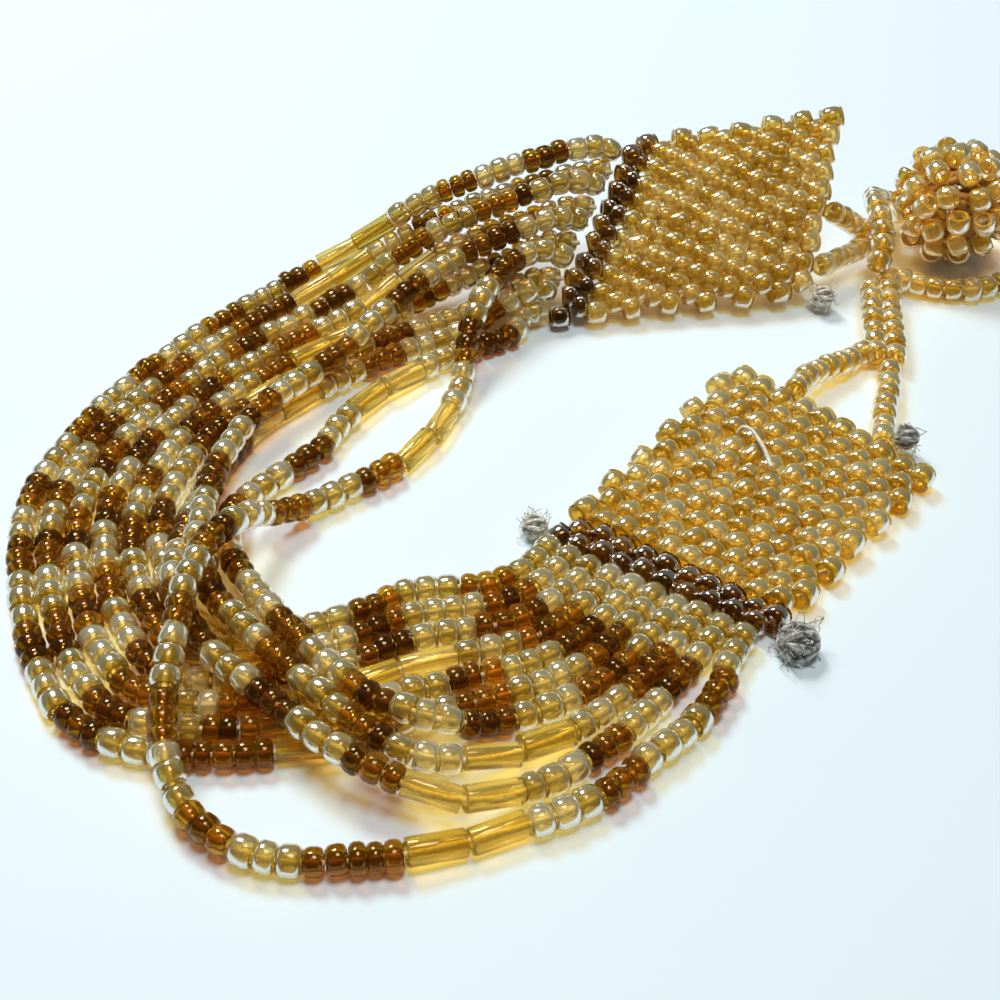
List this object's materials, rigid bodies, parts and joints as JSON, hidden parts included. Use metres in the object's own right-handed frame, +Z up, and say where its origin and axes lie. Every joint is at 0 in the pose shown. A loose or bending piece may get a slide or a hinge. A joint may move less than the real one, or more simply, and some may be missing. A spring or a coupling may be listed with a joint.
{
  "type": "bracelet",
  "caption": "Fastened bracelet of loose seed-bead strands between two woven bead panels, closed by a beaded loop over a bead-covered ball.",
  "frame": {"origin": "centre of the bracelet's footprint on the table", "axes": "+X from the strands' bend towards the clasp, +Y from the near panel to the far panel, +Z up from the table"},
  "size_m": [0.0884, 0.0793, 0.014],
  "materials": {
    "strand_glass": "lustred glass seed and bugle beads in champagne and amber groups on a cotton thread",
    "champagne_glass": "gold-lustre transparent glass seed beads",
    "amber_glass": "dark amber transparent glass seed beads",
    "cotton_thread": "cream and grey cotton thread, fuzzy at the knots"
  },
  "bodies": {
    "strands": {"strand_01": "strand_glass", "strand_02": "strand_glass", "strand_03": "strand_glass", "strand_04": "strand_glass", "strand_05": "strand_glass", "strand_06": "strand_glass", "strand_07": "strand_glass", "strand_08": "strand_glass", "strand_09": "strand_glass", "strand_10": "strand_glass"},
    "near_panel_body": {"near_amber_band": "amber_glass", "near_panel": "champagne_glass", "knot_near_outer": "cotton_thread", "knot_near_inner": "cotton_thread", "knot_loop": "cotton_thread", "thread_tail": "cotton_thread"},
    "loop_body": {"near_leg_a": "champagne_glass", "near_leg_b": "champagne_glass", "loop_stem": "champagne_glass", "loop_ring": "champagne_glass"},
    "far_panel_body": {"far_amber_band": "amber_glass", "far_panel": "champagne_glass", "far_leg_a": "champagne_glass", "far_leg_b": "champagne_glass", "button_neck": "champagne_glass", "knot_far": "cotton_thread"},
    "button_body": {"button_core": "cotton_thread", "button_beads": "champagne_glass"}
  },
  "joints": [
    {"name": "near_panel_lift", "type": "hinge", "parent": "strands", "child": "near_panel_body", "pos_m": [-0.00228, -0.00944, 0.00205], "axis": [0.8358, -0.549, 0], "range_deg": [0, 45]},
    {"name": "far_panel_lift", "type": "hinge", "parent": "strands", "child": "far_panel_body", "pos_m": [-0.00165, 0.01999, 0.00118], "axis": [-0.4142, -0.7145, -0.5639], "range_deg": [0, 12]},
    {"name": "loop_swing", "type": "hinge", "parent": "near_panel_body", "child": "loop_body", "pos_m": [0.02093, 0.0037, 0.0035], "axis": [0.8047, -0.5741, -0.1512], "range_deg": [0, 90]},
    {"name": "button_twist", "type": "hinge", "parent": "far_panel_body", "child": "button_body", "pos_m": [0.03608, 0.0315, 0.00605], "axis": [-0.9296, -0.1431, -0.3397], "range_deg": [-90, 90]}
  ],
  "couplings": [
    {"joint": "far_panel_lift", "follows": "near_panel_lift", "ratio": 0.25}
  ]
}
